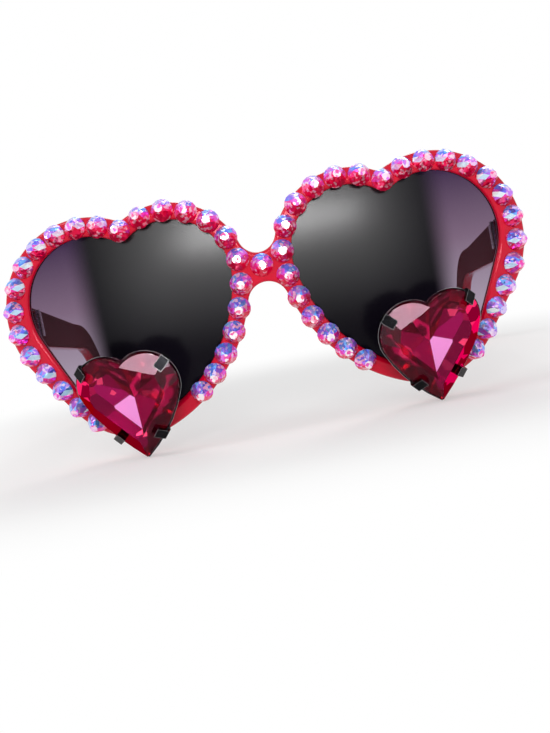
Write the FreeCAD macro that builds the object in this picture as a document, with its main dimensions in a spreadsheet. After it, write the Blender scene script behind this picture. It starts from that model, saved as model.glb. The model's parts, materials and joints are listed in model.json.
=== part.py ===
import FreeCAD, Part
import math
import os
import Sketcher

# Heart shaped sunglasses. +X is the wearer's left, the front faces -Y and +Z is up.
# The origin is the foremost point of the bridge, where the middle crystal is glued.

Vec = FreeCAD.Vector
doc = FreeCAD.newDocument("HeartSunglasses")

# Driving sizes, in millimetres and degrees
SIZES = {
    # The front bulges forward: one radius across the face and one up and down
    "front_wrap_radius": 164.0,
    "front_height_radius": 98.5,
    "rim_depth": 4.5,
    # Heart outline of one rim, a chain of tangent arcs measured from the origin
    "inner_lobe_x": 26.0,
    "inner_lobe_rise": 0.2,
    "inner_lobe_radius": 22.1,
    "outer_lobe_x": 50.0,
    "outer_lobe_drop": 3.7,
    "outer_lobe_radius": 26.4,
    "nose_side_radius": 51.0,
    "tip_x": 43.1,
    "tip_drop": 20.7,
    "tip_radius": 22.3,
    "notch_radius": 2.0,
    "bridge_rise": 3.6,
    "bridge_fall": 4.8,
    # Lens opening inside that outline
    "rim_width": 4.8,
    "outer_rim_width": 7.2,
    "opening_shift_in": 0.4,
    "opening_shift_up": 1.6,
    "opening_notch_radius": 3.0,
    "opening_edge_round": 1.1,
    "outline_edge_round": 0.9,
    # Lenses in their grooves
    "lens_recess": 1.8,
    "lens_thickness": 1.8,
    "groove_depth": 1.0,
    "lens_clearance": 0.05,
    # Moulded nose pads
    "nose_pad_angle": 24.0,
    "nose_pad_length": 18.0,
    "nose_pad_thickness": 4.6,
    "nose_pad_reach": 7.5,
    # Endpieces and temples
    "hinge_drop": 5.5,
    "endpiece_inset": 1.4,
    "endpiece_back": 28.0,
    "temple_height": 12.6,
    "temple_thickness": 4.0,
    "temple_gap": 0.15,
    "temple_edge_round": 1.0,
    "temple_slope": 6.5,
    "temple_to_bend": 102.0,
    "bend_height": 8.2,
    "bend_radius": 26.0,
    "ear_drop": 46.0,
    "ear_length": 41.2,
    "ear_height": 8.6,
    "ear_tip_round": 3.8,
    "ear_thickness": 3.2,
    "ear_bow": 5.0,
    "bow_start": 83.0,
    # Barrel hinges
    "hinge_barrel_radius": 1.6,
    "hinge_height": 7.2,
    "hinge_knuckle": 2.5,
    "hinge_slack": 0.1,
    "hinge_plate": 0.9,
    "hinge_plate_length": 8.0,
    "hinge_anchor_depth": 1.6,
    "hinge_anchor_length": 3.2,
    "hinge_seat": 0.05,
    "screw_radius": 0.7,
    "screw_clearance": 0.05,
    "screw_head_radius": 1.3,
    "screw_head_height": 0.8,
    "screw_slot": 0.35,
    # Small flat backed crystals in a row round each rim
    "crystal_diameter": 6.5,
    "crystal_height": 4.0,
    "crystal_table": 2.4,
    "crystal_shoulder": 4.5,
    "crystal_girdle": 0.4,
    "crystal_pitch": 6.85,
    "crystal_inset": 2.25,
    "crystal_outer_inset": 2.8,
    "crystal_notch_radius": 2.2,
    "crystal_glue": 0.03,
    # Large heart crystals in claw settings
    "heart_x": 41.65,
    "heart_drop": 32.0,
    "heart_lean": 3.0,
    "heart_turn_left": 5.0,
    "heart_turn_right": 1.2,
    "heart_length": 29.1,
    "heart_lobe_radius": 9.05,
    "heart_lobe_x": 6.15,
    "heart_side_radius": 49.5,
    "heart_crown": 3.0,
    "heart_girdle": 0.7,
    "heart_scallop": 0.3,
    "heart_pavilion": 5.0,
    "heart_culet_rise": 4.5,
    "heart_crown_slope": 32.0,
    "heart_edge_slope": 38.0,
    "heart_pavilion_slope": 29.0,
    "heart_culet_slope": 15.0,
    "setting_standoff": 0.15,
    "setting_floor": 0.6,
    "setting_height": 5.8,
    "setting_base_share": 0.72,
    "setting_wall": 0.5,
    "setting_seat": 0.05,
    "prong_width": 2.8,
    "prong_reach": 2.3,
    "prong_thickness": 0.6,
    "prong_taper": 0.3,
    "glue_share": 0.64,
}

sheet = doc.addObject("Spreadsheet::Sheet", "Sizes")
for row, (alias, size) in enumerate(SIZES.items(), start=1):
    sheet.set("A%d" % row, alias)
    sheet.set("B%d" % row, str(size))
    sheet.setAlias("B%d" % row, alias)
doc.recompute()

UPRIGHT = Vec(0, 0, 1)
XZ_PLANE = FreeCAD.Rotation(Vec(1, 0, 0), 90)
YZ_PLANE = FreeCAD.Rotation(0.5, 0.5, 0.5, 0.5)
FULL_TURN = 2 * math.pi
# Two places closer than this are the same place
SAME_PLACE = 0.01
# Numbers that a sketch gives to the ends of a curve and to its own axes
START, END, CENTRE = range(1, 4)
H_AXIS, V_AXIS = range(-1, -3, -1)
ORIGIN = (H_AXIS, START)


def value(text):
    """Number that an expression on the sheet comes to."""
    return float(sheet.evalExpression(text))


def bind(thing, **expressions):
    """Tie properties of an object to the sheet; x, y and z are its place."""
    for name, text in expressions.items():
        target = "Placement.Base." + name if name in ("x", "y", "z") else name
        thing.setExpression(target, text)
    return thing


def combine(kind, name, base, tool):
    """Cut or common of two objects."""
    result = doc.addObject(kind, name)
    result.Base = base
    result.Tool = tool
    return result


def fuse(name, pieces):
    result = doc.addObject("Part::MultiFuse", name)
    result.Shapes = pieces
    result.Refine = True
    return result


def mirror(name, source):
    """The same piece on the other side of the nose."""
    result = doc.addObject("Part::Mirroring", name)
    result.Source = source
    result.Normal = Vec(1, 0, 0)
    return result


def box(name, low, span):
    """Box from its lowest corner and its spans, each given as three expressions."""
    result = doc.addObject("Part::Box", name)
    bind(result, x=low[0], y=low[1], z=low[2])
    return bind(result, Length=span[0], Width=span[1], Height=span[2])


def cylinder(name, base, radius, height):
    """Upright cylinder from the middle of its lower face."""
    result = doc.addObject("Part::Cylinder", name)
    bind(result, x=base[0], y=base[1], z=base[2])
    return bind(result, Radius=radius, Height=height)


def extrude(name, sketch, direction, forward, backward):
    result = doc.addObject("Part::Extrusion", name)
    result.Base = sketch
    result.DirMode = "Custom"
    result.Dir = direction
    result.Solid = True
    return bind(result, LengthFwd=forward, LengthRev=backward)


def new_sketch(name, plane):
    sketch = doc.addObject("Sketcher::SketchObject", name)
    sketch.Placement = FreeCAD.Placement(Vec(0, 0, 0), plane)
    return sketch


def dimension(sketch, text, *constraint):
    """Add a dimension whose size follows an expression."""
    index = sketch.addConstraint(Sketcher.Constraint(*constraint, value(text)))
    sketch.setExpression("Constraints[%d]" % index, text)


def locate(sketch, geometry, position, across, up):
    """Fix a point by its distances from the sketch origin, which may be negative."""
    for kind, text in (("DistanceX", across), ("DistanceY", up)):
        if value(text) < 0:
            dimension(sketch, "-(%s)" % text, kind, geometry, position, *ORIGIN)
        else:
            dimension(sketch, text, kind, *ORIGIN, geometry, position)


def touch(sketch, first, first_end, second, second_end):
    """Join two curves end to end, running smoothly into each other."""
    sketch.addConstraint(Sketcher.Constraint("Tangent", first, first_end, second, second_end))


def on_arc(centre, radius, angle):
    return centre + Vec(math.cos(angle), math.sin(angle), 0) * radius


def direction(start, end):
    """Angle of the line from one point to another."""
    return math.atan2(end.y - start.y, end.x - start.x)


def circle_crossing(first, first_radius, second, second_radius):
    """Where two circles cross, on the left of the way from the first to the second."""
    apart = second.sub(first)
    span = apart.Length
    along = (first_radius ** 2 - second_radius ** 2 + span ** 2) / (2 * span)
    aside = math.sqrt(first_radius ** 2 - along ** 2)
    unit = apart * (1 / span)
    return first + unit * along + Vec(-unit.y, unit.x, 0) * aside


# A heart of tangent arcs
OUTLINE = {
    "inner_x": "Sizes.inner_lobe_x",
    "inner_z": "Sizes.inner_lobe_rise",
    "inner_r": "Sizes.inner_lobe_radius",
    "outer_x": "Sizes.outer_lobe_x",
    "outer_z": "-Sizes.outer_lobe_drop",
    "outer_r": "Sizes.outer_lobe_radius",
    "nose_r": "Sizes.nose_side_radius",
    "tip_x": "Sizes.tip_x",
    "tip_z": "-Sizes.tip_drop",
    "tip_r": "Sizes.tip_radius",
    "notch_r": "Sizes.notch_radius",
}


def opening_sizes(growth):
    """Lens opening, made larger all round by a growth given as an expression."""
    return dict(
        OUTLINE,
        inner_r="Sizes.inner_lobe_radius - Sizes.rim_width + " + growth,
        outer_x="Sizes.outer_lobe_x - Sizes.opening_shift_in",
        outer_z="Sizes.opening_shift_up - Sizes.outer_lobe_drop",
        outer_r="Sizes.outer_lobe_radius - Sizes.outer_rim_width + " + growth,
        nose_r="Sizes.nose_side_radius - Sizes.rim_width + " + growth,
        tip_r="Sizes.tip_radius - Sizes.rim_width + " + growth,
        notch_r="Sizes.opening_notch_radius - (%s)" % growth,
    )


CRYSTAL_LINE = dict(
    OUTLINE,
    inner_r="Sizes.inner_lobe_radius - Sizes.crystal_inset",
    outer_r="Sizes.outer_lobe_radius - Sizes.crystal_outer_inset",
    nose_r="Sizes.nose_side_radius - Sizes.crystal_inset",
    tip_r="Sizes.tip_radius - Sizes.crystal_inset",
    notch_r="Sizes.crystal_notch_radius",
)


class Heart:
    """Centres, radii and meeting angles of the arcs of one heart."""

    def __init__(self, sizes):
        size = {name: value(text) for name, text in sizes.items()}
        self.inner_r = size["inner_r"]
        self.outer_r = size["outer_r"]
        self.nose_r = size["nose_r"]
        self.tip_r = size["tip_r"]
        self.notch_r = size["notch_r"]
        self.inner = Vec(size["inner_x"], size["inner_z"], 0)
        self.outer = Vec(size["outer_x"], size["outer_z"], 0)
        self.tip = Vec(size["tip_x"], size["tip_z"], 0)
        self.nose = circle_crossing(
            self.inner, self.nose_r - self.inner_r, self.tip, self.nose_r - self.tip_r)
        self.notch = circle_crossing(
            self.inner, self.inner_r + self.notch_r, self.outer, self.outer_r + self.notch_r)
        down = self.tip.sub(self.outer)
        swing = math.acos((self.outer_r - self.tip_r) / down.Length)
        self.cheek_angle = direction(self.outer, self.tip) + swing
        self.nose_start = direction(self.nose, self.inner) % FULL_TURN
        self.nose_end = direction(self.nose, self.tip) % FULL_TURN


def draw_heart(sketch, sizes, side, lobe_end=None, nose_start=None):
    """Draw one heart's arcs; side is 1 for the wearer's left and -1 for the right.

    The inner lobe and the nose side meet each other unless the angles where they stop are given.
    """
    heart = Heart(sizes)

    def arc(centre, radius, start, end):
        if side < 0:
            centre = Vec(-centre.x, centre.y, 0)
            start, end = math.pi - end, math.pi - start
        circle = Part.Circle(centre, UPRIGHT, radius)
        return sketch.addGeometry(Part.ArcOfCircle(circle, start, end))

    first, last = (START, END) if side > 0 else (END, START)
    lobe = arc(heart.inner, heart.inner_r, direction(heart.inner, heart.notch),
               heart.nose_start if lobe_end is None else lobe_end)
    notch = arc(heart.notch, heart.notch_r, direction(heart.notch, heart.inner),
                direction(heart.notch, heart.outer))
    outer = arc(heart.outer, heart.outer_r, heart.cheek_angle, direction(heart.outer, heart.notch))
    tip = arc(heart.tip, heart.tip_r, heart.nose_end - FULL_TURN, heart.cheek_angle)
    nose = arc(heart.nose, heart.nose_r,
               heart.nose_start if nose_start is None else nose_start, heart.nose_end)
    cheek_ends = [on_arc(heart.outer, heart.outer_r, heart.cheek_angle),
                  on_arc(heart.tip, heart.tip_r, heart.cheek_angle)]
    cheek_ends = [Vec(side * point.x, point.y, 0) for point in cheek_ends]
    cheek = sketch.addGeometry(Part.LineSegment(*cheek_ends))

    touch(sketch, lobe, first, notch, first)
    touch(sketch, notch, last, outer, last)
    touch(sketch, outer, first, cheek, START)
    touch(sketch, cheek, END, tip, last)
    touch(sketch, tip, first, nose, last)
    if lobe_end is None:
        touch(sketch, lobe, last, nose, first)
    else:
        sketch.addConstraint(Sketcher.Constraint("Tangent", lobe, nose))
    sign = "" if side > 0 else "-"
    for curve, name in ((lobe, "inner"), (outer, "outer"), (tip, "tip")):
        locate(sketch, curve, CENTRE, "%s(%s)" % (sign, sizes[name + "_x"]), sizes[name + "_z"])
        dimension(sketch, sizes[name + "_r"], "Radius", curve)
    dimension(sketch, sizes["notch_r"], "Radius", notch)
    dimension(sketch, sizes["nose_r"], "Radius", nose)
    return (lobe, last), (nose, first)


def bridge_arc(centre, radius, level):
    """Centre and radius of an arc over the nose that touches a circle and its mirror image.

    The arc passes level at x = 0, with its centre on the far side of the gap.
    """
    climb = level - centre.y
    away = 1 if climb > 0 else -1
    fillet = (centre.x ** 2 + climb ** 2 - radius ** 2) / (2 * (radius - away * climb))
    return Vec(0, level + away * fillet, 0), fillet


# Front plate: the double heart outline pressed through a curved shell
def draw_front_outline():
    sketch = new_sketch("front_outline", XZ_PLANE)
    heart = Heart(OUTLINE)
    top, top_r = bridge_arc(heart.inner, heart.inner_r, value("Sizes.bridge_rise"))
    arch, arch_r = bridge_arc(heart.nose, heart.nose_r, value("-Sizes.bridge_fall"))
    lobe_end = direction(heart.inner, top)
    nose_start = direction(heart.nose, arch) % FULL_TURN
    left_lobe, left_nose = draw_heart(sketch, OUTLINE, 1, lobe_end, nose_start)
    right_lobe, right_nose = draw_heart(sketch, OUTLINE, -1, lobe_end, nose_start)

    over = direction(top, heart.inner)
    saddle = sketch.addGeometry(
        Part.ArcOfCircle(Part.Circle(top, UPRIGHT, top_r), math.pi - over, over))
    under = direction(arch, heart.nose)
    vault = sketch.addGeometry(
        Part.ArcOfCircle(Part.Circle(arch, UPRIGHT, arch_r), under, math.pi - under))
    touch(sketch, saddle, END, *left_lobe)
    touch(sketch, saddle, START, *right_lobe)
    touch(sketch, vault, START, *left_nose)
    touch(sketch, vault, END, *right_nose)
    for curve, level in ((saddle, "Sizes.bridge_rise"), (vault, "-Sizes.bridge_fall")):
        middle = sketch.addGeometry(Part.Point(Vec(0, value(level), 0)), True)
        sketch.addConstraint(Sketcher.Constraint("PointOnObject", middle, START, V_AXIS))
        sketch.addConstraint(Sketcher.Constraint("PointOnObject", middle, START, curve))
        if value(level) < 0:
            dimension(sketch, "-(%s)" % level, "DistanceY", middle, START, *ORIGIN)
        else:
            dimension(sketch, level, "DistanceY", *ORIGIN, middle, START)
    return sketch


# The shells reach past the heart tips and past the outer lobes
SHELL_REACH = "Sizes.tip_drop + 1.5 * Sizes.tip_radius"
SHELL_TURN = "3 * asin((Sizes.outer_lobe_x + Sizes.outer_lobe_radius) / Sizes.front_wrap_radius)"


def curved_shell(name, front, back):
    """Part of the bulging front between two depths below its outer surface."""
    sketch = new_sketch(name + "_profile", YZ_PLANE)
    centre = Vec(value("Sizes.front_height_radius"), 0, 0)
    reach = value(SHELL_REACH)
    arcs = []
    corners = []
    for depth in (front, back):
        radius_text = "Sizes.front_height_radius - (%s)" % depth
        radius = value(radius_text)
        half = math.asin(reach / radius)
        circle = Part.Circle(centre, UPRIGHT, radius)
        arc = sketch.addGeometry(Part.ArcOfCircle(circle, math.pi - half, math.pi + half))
        dimension(sketch, radius_text, "Radius", arc)
        arcs.append(arc)
        corners.append((on_arc(centre, radius, math.pi - half), on_arc(centre, radius, math.pi + half)))
    sketch.addConstraint(Sketcher.Constraint("PointOnObject", arcs[0], CENTRE, H_AXIS))
    dimension(sketch, "Sizes.front_height_radius", "DistanceX", *ORIGIN, arcs[0], CENTRE)
    sketch.addConstraint(Sketcher.Constraint("Coincident", arcs[0], CENTRE, arcs[1], CENTRE))
    for end, place in ((START, 0), (END, 1)):
        edge = sketch.addGeometry(Part.LineSegment(corners[0][place], corners[1][place]))
        sketch.addConstraint(Sketcher.Constraint("Coincident", edge, START, arcs[0], end))
        sketch.addConstraint(Sketcher.Constraint("Coincident", edge, END, arcs[1], end))
        sketch.addConstraint(Sketcher.Constraint("Horizontal", edge))
        if place == 0:
            dimension(sketch, SHELL_REACH, "DistanceY", *ORIGIN, edge, START)
        else:
            dimension(sketch, SHELL_REACH, "DistanceY", edge, START, *ORIGIN)
    shell = doc.addObject("Part::Revolution", name)
    shell.Source = sketch
    shell.Axis = UPRIGHT
    shell.Symmetric = True
    shell.Solid = True
    bind(shell, Angle=SHELL_TURN)
    shell.setExpression("Base.y", "Sizes.front_wrap_radius")
    return shell


# The outlines are pressed from just in front of the bulge to well behind it
PRESS = "Sizes.front_wrap_radius / 3"
PRESS_START = "Sizes.rim_depth"
LENS_BACK = "Sizes.lens_recess + Sizes.lens_thickness"

outline_block = extrude("outline_block", draw_front_outline(), Vec(0, 1, 0), PRESS, PRESS_START)
front_shell = curved_shell("front_shell", "0", "Sizes.rim_depth")
front_blank = combine("Part::Common", "front_blank", outline_block, front_shell)


def opening_press(name, growth):
    """Block of the lens opening's outline, grown all round."""
    sketch = new_sketch(name + "_outline", XZ_PLANE)
    draw_heart(sketch, opening_sizes(growth), 1)
    return sketch, extrude(name, sketch, Vec(0, 1, 0), PRESS, PRESS_START)


opening_sketch, opening_block = opening_press("opening_block", "0")
opening_pair = fuse("opening_pair", [opening_block, mirror("opening_block_right", opening_block)])
front_plate = combine("Part::Cut", "front_plate", front_blank, opening_pair)
doc.recompute()


def surface_point(x, z):
    """Point of the bulging front at x, z and the outward direction there."""
    wrap = value("Sizes.front_wrap_radius")
    height = value("Sizes.front_height_radius")
    ring = wrap - height + math.sqrt(height ** 2 - z ** 2)
    point = Vec(x, wrap - math.sqrt(ring ** 2 - x ** 2), z)
    flat = math.sqrt(height ** 2 - z ** 2) / height
    outward = Vec(flat * x / ring, flat * (point.y - wrap) / ring, z / height)
    return point, outward


def on_front_face(edge):
    """Whether an edge lies in the bulging front face."""
    middle = edge.valueAt((edge.FirstParameter + edge.LastParameter) / 2)
    return abs(surface_point(middle.x, middle.z)[0].y - middle.y) < SAME_PLACE


def in_opening(edge):
    """Whether an edge of the front face belongs to a lens opening."""
    middle = edge.valueAt((edge.FirstParameter + edge.LastParameter) / 2)
    flat_point = Part.Vertex(abs(middle.x), 0, middle.z)
    return opening_sketch.Shape.distToShape(flat_point)[0] < SAME_PLACE


rim_rounds = []
for number, edge in enumerate(front_plate.Shape.Edges, start=1):
    if on_front_face(edge):
        size = value("Sizes.opening_edge_round" if in_opening(edge) else "Sizes.outline_edge_round")
        rim_rounds.append((number, size, size))
front_rounded = doc.addObject("Part::Fillet", "front_rounded")
front_rounded.Base = front_plate
front_rounded.Edges = rim_rounds

# Grooves for the lenses
groove_shell = curved_shell(
    "groove_shell", "Sizes.lens_recess - Sizes.lens_clearance", LENS_BACK + " + Sizes.lens_clearance")
groove_block = opening_press("groove_block", "Sizes.groove_depth")[1]
groove = combine("Part::Common", "groove", groove_block, groove_shell)
lens_grooves = fuse("lens_grooves", [groove, mirror("groove_right", groove)])

# Lenses
lens_left = combine("Part::Common", "lens_left",
                    opening_press("lens_block", "Sizes.groove_depth - Sizes.lens_clearance")[1],
                    curved_shell("lens_shell", "Sizes.lens_recess", LENS_BACK))
lens_right = mirror("lens_right", lens_left)

# Endpieces behind the outer rims
OUTER_FACE = "Sizes.outer_lobe_x + Sizes.outer_lobe_radius - Sizes.endpiece_inset"
INNER_FACE = OUTER_FACE + " - Sizes.temple_thickness"
RIM_FACE = ("Sizes.front_wrap_radius - sqrt(pow(Sizes.front_wrap_radius; 2)"
            " - pow(%s; 2))" % INNER_FACE)
ENDPIECE_START = "%s + Sizes.lens_recess + Sizes.lens_thickness" % RIM_FACE
endpiece = box("endpiece", (INNER_FACE, ENDPIECE_START, "-Sizes.hinge_drop - Sizes.temple_height / 2"),
               ("Sizes.temple_thickness", "Sizes.endpiece_back - (%s)" % ENDPIECE_START,
                "Sizes.temple_height"))

# Moulded nose pads
outline = Heart(OUTLINE)
pad_angle = math.radians(180 + value("Sizes.nose_pad_angle"))
pad_spot = on_arc(outline.nose, outline.nose_r - value("Sizes.rim_width / 2"), pad_angle)
pad_depth = surface_point(pad_spot.x, pad_spot.y)[0].y + value("Sizes.rim_depth")
pad_body = doc.addObject("Part::Ellipsoid", "pad_body")
bind(pad_body, Radius1="Sizes.nose_pad_length / 2", Radius2="Sizes.nose_pad_thickness / 2",
     Radius3="Sizes.nose_pad_reach")
pad_body.Placement = FreeCAD.Placement(
    Vec(pad_spot.x, pad_depth, pad_spot.y),
    FreeCAD.Rotation(Vec(0, 1, 0), -value("Sizes.nose_pad_angle")))
behind_lens = curved_shell("behind_lens", LENS_BACK + " + 2 * Sizes.lens_clearance",
                           "Sizes.rim_depth + 2 * Sizes.nose_pad_reach")
nose_pad = combine("Part::Common", "nose_pad", pad_body, behind_lens)

# Hinges: two knuckles on the front leaf, one between them on the temple leaf
HINGE_X = INNER_FACE + " - Sizes.hinge_barrel_radius - Sizes.hinge_slack"
HINGE_LOW = "-Sizes.hinge_drop - Sizes.hinge_height / 2"
SIDE_KNUCKLE = "(Sizes.hinge_height - Sizes.hinge_knuckle) / 2 - Sizes.hinge_slack"
TEMPLE_LOW = "-Sizes.hinge_drop - Sizes.hinge_knuckle / 2"
UPPER_LOW = "-Sizes.hinge_drop + Sizes.hinge_knuckle / 2 + Sizes.hinge_slack"
PLATE_X = INNER_FACE + " - Sizes.hinge_plate"
LEAF_START = "Sizes.hinge_barrel_radius + 2 * Sizes.hinge_slack"
HOLE_RADIUS = "Sizes.screw_radius + Sizes.screw_clearance"
HOLE_OVER = "Sizes.screw_head_height"
# Back of the rim at the lower end of the front leaf, which starts just behind it
RIM_BACK = ("Sizes.front_wrap_radius - sqrt(pow(Sizes.front_wrap_radius - Sizes.front_height_radius"
            " + sqrt(pow(Sizes.front_height_radius - Sizes.rim_depth; 2)"
            " - pow(Sizes.hinge_drop + Sizes.hinge_height / 2; 2)); 2) - pow(%s; 2))" % INNER_FACE)
FRONT_PLATE_START = RIM_BACK + " + Sizes.hinge_slack"
FRONT_PLATE_LENGTH = "Sizes.endpiece_back - (%s) - (%s)" % (LEAF_START, FRONT_PLATE_START)


def anchor(name, toward_y, grow):
    """Block of a leaf that is sunk into the plastic, or its pocket when grown."""
    middle = "Sizes.endpiece_back + (%s)" % toward_y
    return box(name,
               (PLATE_X + " + Sizes.hinge_plate / 2",
                "%s - Sizes.hinge_anchor_length / 2 - %s" % (middle, grow),
                "-Sizes.hinge_drop - Sizes.hinge_height / 4 - %s" % grow),
               ("Sizes.hinge_plate / 2 + Sizes.hinge_anchor_depth + %s" % grow,
                "Sizes.hinge_anchor_length + 2 * %s" % grow,
                "Sizes.hinge_height / 2 + 2 * %s" % grow))


FRONT_ANCHOR = "-(%s) - (%s) / 2" % (LEAF_START, FRONT_PLATE_LENGTH)
TEMPLE_ANCHOR = "%s + Sizes.hinge_plate_length / 2" % LEAF_START


def hinge_leaf(name, plate_low, plate_length, tabs, anchor_spot):
    """Leaf with its plate on the plastic, knuckles round the screw and a sunk anchor."""
    plate = box(name + "_plate", (PLATE_X, plate_low, HINGE_LOW),
                ("Sizes.hinge_plate", plate_length, "Sizes.hinge_height"))
    pieces = [plate, anchor(name + "_anchor", anchor_spot, "0")]
    for number, (tab_y, tab_low, tab_height) in enumerate(tabs):
        pieces.append(box("%s_tab_%d" % (name, number), (PLATE_X, tab_y, tab_low),
                          ("Sizes.hinge_plate - Sizes.hinge_slack", LEAF_START, tab_height)))
        pieces.append(cylinder("%s_knuckle_%d" % (name, number),
                               (HINGE_X, "Sizes.endpiece_back", tab_low),
                               "Sizes.hinge_barrel_radius", tab_height))
    hole = cylinder(name + "_hole", (HINGE_X, "Sizes.endpiece_back", "%s - %s" % (HINGE_LOW, HOLE_OVER)),
                    HOLE_RADIUS, "Sizes.hinge_height + 2 * %s" % HOLE_OVER)
    return combine("Part::Cut", name, fuse(name + "_solid", pieces), hole)


FRONT_TAB_Y = "Sizes.endpiece_back - (%s)" % LEAF_START
front_hinge_left = hinge_leaf(
    "front_hinge_left", FRONT_PLATE_START, FRONT_PLATE_LENGTH,
    [(FRONT_TAB_Y, HINGE_LOW, SIDE_KNUCKLE), (FRONT_TAB_Y, UPPER_LOW, SIDE_KNUCKLE)], FRONT_ANCHOR)
front_hinge_right = mirror("front_hinge_right", front_hinge_left)
temple_hinge_left = hinge_leaf(
    "temple_hinge_left", "Sizes.endpiece_back + (%s)" % LEAF_START, "Sizes.hinge_plate_length",
    [("Sizes.endpiece_back", TEMPLE_LOW, "Sizes.hinge_knuckle")], TEMPLE_ANCHOR)
temple_hinge_right = mirror("temple_hinge_right", temple_hinge_left)

# Hinge screws
HEAD_LOW = "-Sizes.hinge_drop + Sizes.hinge_height / 2 + Sizes.screw_clearance"
shank = cylinder("screw_shank", (HINGE_X, "Sizes.endpiece_back", HINGE_LOW),
                 "Sizes.screw_radius", "Sizes.hinge_height + Sizes.screw_head_height / 2")
head = cylinder("screw_head", (HINGE_X, "Sizes.endpiece_back", HEAD_LOW),
                "Sizes.screw_head_radius", "Sizes.screw_head_height")
slot = box("screw_slot_cut",
           (HINGE_X + " - Sizes.screw_head_radius",
            "Sizes.endpiece_back - Sizes.screw_slot / 2",
            HEAD_LOW + " + Sizes.screw_head_height / 2"),
           ("2 * Sizes.screw_head_radius", "Sizes.screw_slot", "Sizes.screw_head_height"))
hinge_screw_left = combine("Part::Cut", "hinge_screw_left", fuse("screw_solid", [shank, head]), slot)
hinge_screw_right = mirror("hinge_screw_right", hinge_screw_left)

# Front frame: rounded plate with endpieces and nose pads, grooved for the lenses
front_pocket = anchor("front_pocket", FRONT_ANCHOR, "Sizes.hinge_seat")
front_grooved = combine("Part::Cut", "front_grooved", front_rounded, lens_grooves)
front_solid = fuse("front_solid", [front_grooved, endpiece, mirror("endpiece_right", endpiece),
                                   nose_pad, mirror("nose_pad_right", nose_pad)])
front_frame = combine("Part::Cut", "front_frame", front_solid,
                      fuse("front_pockets", [front_pocket, mirror("front_pocket_right", front_pocket)]))


def corner_sketch(name, plane, corners):
    """Closed outline through corners given as expressions: across, up and radius.

    A corner of radius "0" stays sharp; the others are rounded by a tangent arc.
    """
    sketch = new_sketch(name, plane)
    count = len(corners)
    points = [Vec(value(across), value(up), 0) for across, up, radius in corners]
    radii = [value(radius) for across, up, radius in corners]

    def towards(index, other):
        step = points[other % count].sub(points[index])
        return step.normalize()

    cuts = []
    for index in range(count):
        before = towards(index, index - 1)
        after = towards(index, index + 1)
        half = before.getAngle(after) / 2
        cuts.append(radii[index] / math.tan(half))
    lines = []
    for index in range(count):
        ahead = towards(index, index + 1)
        start = points[index] + ahead * cuts[index]
        end = points[(index + 1) % count] - ahead * cuts[(index + 1) % count]
        lines.append(sketch.addGeometry(Part.LineSegment(start, end)))
    for index, (across, up, radius) in enumerate(corners):
        before = lines[index - 1]
        after = lines[index]
        if radii[index] == 0:
            sketch.addConstraint(Sketcher.Constraint("Coincident", before, END, after, START))
            locate(sketch, after, START, across, up)
            continue
        mark = sketch.addGeometry(Part.Point(points[index]), True)
        locate(sketch, mark, START, across, up)
        for line in (before, after):
            sketch.addConstraint(Sketcher.Constraint("PointOnObject", mark, START, line))
        inward = (towards(index, index - 1) + towards(index, index + 1)).normalize()
        half = towards(index, index - 1).getAngle(towards(index, index + 1)) / 2
        centre = points[index] + inward * (radii[index] / math.sin(half))
        start = points[index] + towards(index, index - 1) * cuts[index]
        end = points[index] + towards(index, index + 1) * cuts[index]
        turn = towards(index, index - 1).cross(towards(index, index + 1)).z
        ends = (start, end) if turn < 0 else (end, start)
        circle = Part.Circle(centre, UPRIGHT, radii[index])
        arc = sketch.addGeometry(
            Part.ArcOfCircle(circle, direction(centre, ends[0]), direction(centre, ends[1])))
        first, last = (START, END) if turn < 0 else (END, START)
        touch(sketch, before, END, arc, first)
        touch(sketch, arc, last, after, START)
        dimension(sketch, radius, "Radius", arc)
    return sketch


# Temples: a side view and a plan view pressed through each other
BEND_Y = "Sizes.temple_to_bend"
BEND_Z = "-Sizes.temple_to_bend * tan(Sizes.temple_slope)"
EAR_Y = "%s + Sizes.ear_length * cos(Sizes.ear_drop)" % BEND_Y
EAR_Z = "%s - Sizes.ear_length * sin(Sizes.ear_drop)" % BEND_Z
EAR_SIDE_Y = "Sizes.ear_height / 2 * sin(Sizes.ear_drop)"
EAR_SIDE_Z = "Sizes.ear_height / 2 * cos(Sizes.ear_drop)"
BEND_HALF = "Sizes.bend_height / 2"
TURN_HALF = "tan((Sizes.ear_drop - Sizes.temple_slope) / 2)"
temple_side = corner_sketch("temple_side", YZ_PLANE, [
    ("0", "-Sizes.temple_height / 2", "0"),
    ("%s - %s * %s" % (BEND_Y, BEND_HALF, TURN_HALF), "%s - %s" % (BEND_Z, BEND_HALF),
     "Sizes.bend_radius"),
    ("%s - %s" % (EAR_Y, EAR_SIDE_Y), "%s - %s" % (EAR_Z, EAR_SIDE_Z), "Sizes.ear_tip_round"),
    ("%s + %s" % (EAR_Y, EAR_SIDE_Y), "%s + %s" % (EAR_Z, EAR_SIDE_Z), "Sizes.ear_tip_round"),
    ("%s + %s * %s" % (BEND_Y, BEND_HALF, TURN_HALF), "%s + %s" % (BEND_Z, BEND_HALF),
     "Sizes.bend_radius + Sizes.bend_height"),
    ("0", "Sizes.temple_height / 2", "0"),
])
PLAN_END = "%s + Sizes.ear_height" % EAR_Y
temple_plan = corner_sketch("temple_plan", FreeCAD.Rotation(), [
    ("0", "0", "0"),
    ("Sizes.temple_thickness", "0", "0"),
    ("Sizes.temple_thickness", "Sizes.bow_start", "Sizes.temple_to_bend"),
    ("Sizes.temple_thickness - Sizes.ear_bow", PLAN_END, "0"),
    ("Sizes.temple_thickness - Sizes.ear_bow - Sizes.ear_thickness", PLAN_END, "0"),
    ("0", "Sizes.bow_start", "Sizes.temple_to_bend"),
])
side_block = extrude("side_block", temple_side, Vec(1, 0, 0), "2 * Sizes.temple_thickness",
                     "2 * Sizes.temple_thickness + Sizes.ear_bow")
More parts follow.
